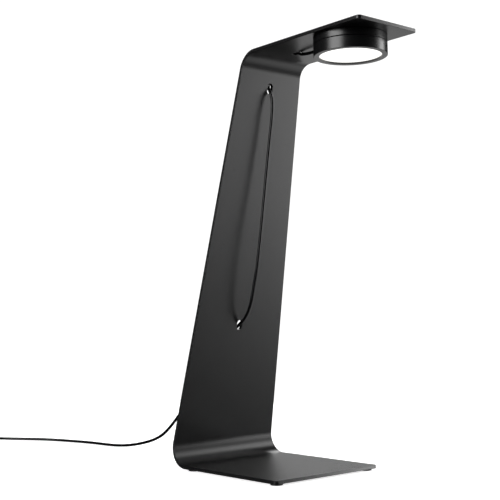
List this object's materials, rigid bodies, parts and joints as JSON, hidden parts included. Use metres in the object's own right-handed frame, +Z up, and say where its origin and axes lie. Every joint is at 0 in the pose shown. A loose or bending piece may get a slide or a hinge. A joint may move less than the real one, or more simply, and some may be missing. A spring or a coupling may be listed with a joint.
{
  "type": "display light",
  "caption": "Free-standing display light: a bent tapered sheet stand with a round twist-lock lamp under its arm and a corded plug-in supply.",
  "frame": {"origin": "on the surface that the feet stand on, under the middle of the stand's box (cord, switch and adapter left out)", "axes": "+Z up, -Y to the front, where the arm and lamp reach, +X to the right as seen from the front"},
  "size_m": [0.3044, 0.7335, 0.4881],
  "materials": {
    "sheet_black": "fine satin black powder coat on bent steel sheet",
    "lamp_black": "satin black powder coat on turned aluminium",
    "foot_rubber": "matte black rubber",
    "steel": "zinc-plated steel",
    "moulded_white": "white moulded insulating plastic",
    "brass": "bare brass, lightly tarnished",
    "soft_black": "soft matte black rubber",
    "cord_black": "smooth satin black cable jacket",
    "wire_red": "red wire insulation",
    "wire_grey": "grey wire insulation",
    "aluminium": "turned aluminium",
    "thermal_silicone": "soft grey-blue silicone pad",
    "board_white": "white solder resist",
    "led_yellow": "yellow phosphor lens",
    "opal_diffuser": "opal diffuser, lit from behind",
    "case_black": "fine textured black plastic",
    "board_green": "green circuit board",
    "winding": "wound transformer with yellow tape",
    "capacitor": "shrink-sleeved capacitor"
  },
  "bodies": {
    "stand": {"stand_sheet": "sheet_black", "foot_front_left": "foot_rubber", "foot_front_right": "foot_rubber", "foot_rear_left": "foot_rubber", "foot_rear_right": "foot_rubber", "mount_cup": "lamp_black", "mount_screws": "steel", "contact_carrier": "moulded_white", "carrier_cover": "moulded_white", "carrier_screws": "steel", "contact_springs": "brass", "cord_clamp": "steel", "clamp_screws": "steel", "strain_relief": "soft_black", "inner_cord": "cord_black", "lead_positive": "wire_red", "lead_negative": "wire_grey", "cord_run": "cord_black", "switch_base": "case_black", "switch_cover": "case_black", "switch_screws": "steel", "switch_wires": "wire_red", "switch_contacts": "brass", "rocker_pin": "steel", "cord_link": "cord_black", "cord_coil": "cord_black", "coil_tie": "soft_black", "cord_tail": "cord_black", "adapter_base": "case_black", "adapter_cover": "case_black", "adapter_screws": "steel", "adapter_gland": "soft_black", "adapter_board": "board_green", "adapter_transformer": "winding", "adapter_capacitor": "capacitor", "plug_pins": "brass"},
    "lamp": {"lamp_housing": "lamp_black", "back_plate": "aluminium", "back_plate_screws": "steel", "pin_insulators": "moulded_white", "contact_pins": "brass", "thermal_pad": "thermal_silicone", "led_board": "board_white", "board_screws": "steel", "leds": "led_yellow", "reflector": "moulded_white", "diffuser": "opal_diffuser"},
    "rocker": {"switch_rocker": "case_black"}
  },
  "joints": [
    {"name": "lamp_twist", "type": "hinge", "parent": "stand", "child": "lamp", "pos_m": [0, -0.088, 0.4678], "axis": [0, 0, 1], "range_deg": [0, 20]},
    {"name": "switch_rock", "type": "hinge", "parent": "stand", "child": "rocker", "pos_m": [-0.146, 0.58, 0.0124], "axis": [0, 1, 0], "range_deg": [-14, 0]}
  ]
}
